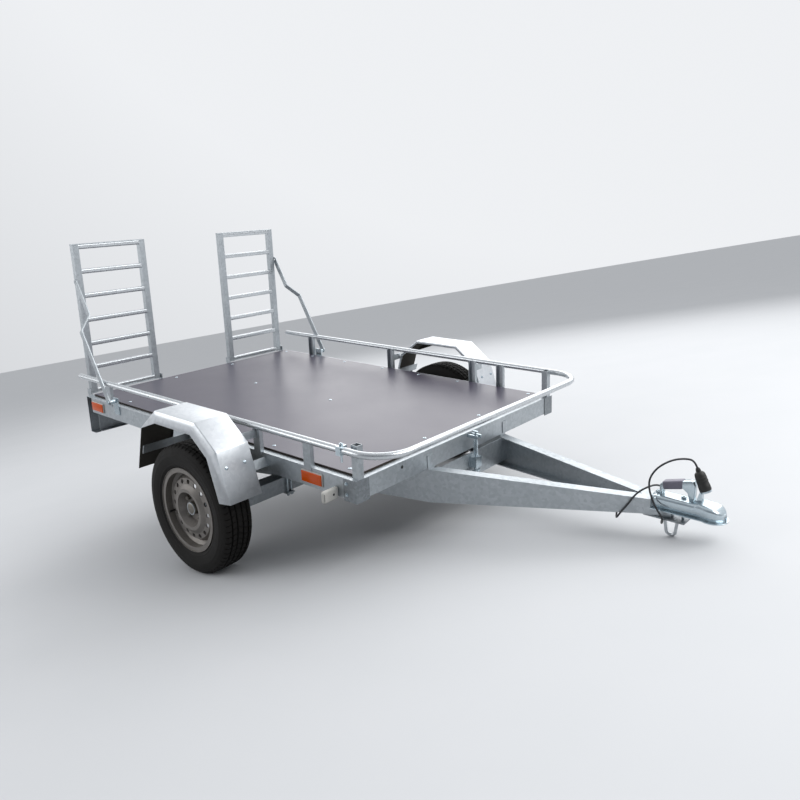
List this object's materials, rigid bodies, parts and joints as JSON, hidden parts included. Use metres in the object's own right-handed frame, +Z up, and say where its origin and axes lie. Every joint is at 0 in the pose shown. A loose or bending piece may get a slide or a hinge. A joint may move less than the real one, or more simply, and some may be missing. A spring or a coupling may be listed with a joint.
{
  "type": "tipping utility trailer",
  "caption": "Galvanised single-axle tipping flat-deck trailer with guard rail, two loading ramps, A-frame drawbar and ball coupling.",
  "frame": {"origin": "on the ground, below the middle of the overall length and width, with the trailer parked on its wheels and its rest loop", "axes": "+X forward, towards the coupling; +Y to the trailer's left; +Z up. The deck is pitched nose down by about 10.3 degrees"},
  "size_m": [3.1224, 1.854, 1.541],
  "materials": {
    "galvanised_steel": "hot-dip galvanised, satin",
    "zinc_steel": "bright zinc plate",
    "wheel_paint": "silver-grey paint",
    "tyre_rubber": "matt",
    "deck_board": "dark phenolic-faced plywood",
    "amber_lens": "gloss",
    "white_lens": "gloss",
    "red_lens": "gloss",
    "black_plastic": "matt",
    "cable_rubber": "matt"
  },
  "bodies": {
    "chassis": {"axle_tube": "galvanised_steel", "ball_socket": "zinc_steel", "cable": "cable_rubber", "cable_clip": "black_plastic", "coupling_bolts": "zinc_steel", "coupling_handle": "zinc_steel", "coupling_head": "zinc_steel", "drawbar_arm_left": "galvanised_steel", "drawbar_arm_right": "galvanised_steel", "drawbar_cross_member": "galvanised_steel", "latch_bracket": "zinc_steel", "latch_rod": "zinc_steel", "nose_plate": "galvanised_steel", "plug": "black_plastic", "plug_holder": "zinc_steel", "rest_loop": "zinc_steel", "rest_pads": "galvanised_steel", "swing_arm_left": "galvanised_steel", "swing_arm_right": "galvanised_steel", "tilt_hinge_tube": "galvanised_steel"},
    "bed": {"corner_plates": "galvanised_steel", "corner_posts": "galvanised_steel", "cross_members": "galvanised_steel", "floor_panel": "deck_board", "front_beam": "galvanised_steel", "front_lamps": "white_lens", "guard_rail": "galvanised_steel", "latch_fork": "zinc_steel", "mudguard_left": "galvanised_steel", "mudguard_right": "galvanised_steel", "mudguard_stays": "galvanised_steel", "rail_clamps": "zinc_steel", "rail_posts_left": "galvanised_steel", "rail_posts_right": "galvanised_steel", "ramp_ears": "galvanised_steel", "ramp_pins": "zinc_steel", "rear_beam": "galvanised_steel", "rear_stiffener": "galvanised_steel", "side_beam_left": "galvanised_steel", "side_beam_right": "galvanised_steel", "side_markers": "amber_lens", "strut_brackets": "zinc_steel", "tail_lamps": "red_lens", "tilt_hinge_lugs": "galvanised_steel"},
    "wheel_right": {"hub_right": "galvanised_steel", "rim_right": "wheel_paint", "tyre_right": "tyre_rubber"},
    "wheel_left": {"hub_left": "galvanised_steel", "rim_left": "wheel_paint", "tyre_left": "tyre_rubber"},
    "ramp_right": {"ramp_rungs_right": "galvanised_steel", "ramp_stiles_right": "galvanised_steel"},
    "ramp_left": {"ramp_rungs_left": "galvanised_steel", "ramp_stiles_left": "galvanised_steel"},
    "strut_right": {"strut_right": "galvanised_steel"},
    "strut_left": {"strut_left": "galvanised_steel"}
  },
  "joints": [
    {"name": "bed_tilt", "type": "hinge", "parent": "chassis", "child": "bed", "pos_m": [-0.40687, 0, 0.41646], "axis": [0, -1, 0], "range_deg": [0, 16]},
    {"name": "wheel_right_spin", "type": "hinge", "parent": "chassis", "child": "wheel_right", "pos_m": [-0.32179, -0.836, 0.281], "axis": [0, 1, 0], "continuous": true},
    {"name": "ramp_right_swing", "type": "hinge", "parent": "bed", "child": "ramp_right", "pos_m": [-1.52104, -0.4455, 0.76707], "axis": [0, -1, 0], "range_deg": [0, 133]},
    {"name": "strut_right_fold", "type": "hinge", "parent": "bed", "child": "strut_right", "pos_m": [-1.17573, -0.7245, 0.71527], "axis": [0, 1, 0], "range_deg": [0, 98]},
    {"name": "wheel_left_spin", "type": "hinge", "parent": "chassis", "child": "wheel_left", "pos_m": [-0.32179, 0.836, 0.281], "axis": [0, 1, 0], "continuous": true},
    {"name": "ramp_left_swing", "type": "hinge", "parent": "bed", "child": "ramp_left", "pos_m": [-1.52104, 0.4455, 0.76707], "axis": [0, -1, 0], "range_deg": [0, 133]},
    {"name": "strut_left_fold", "type": "hinge", "parent": "bed", "child": "strut_left", "pos_m": [-1.17573, 0.7245, 0.71527], "axis": [0, 1, 0], "range_deg": [0, 98]}
  ]
}
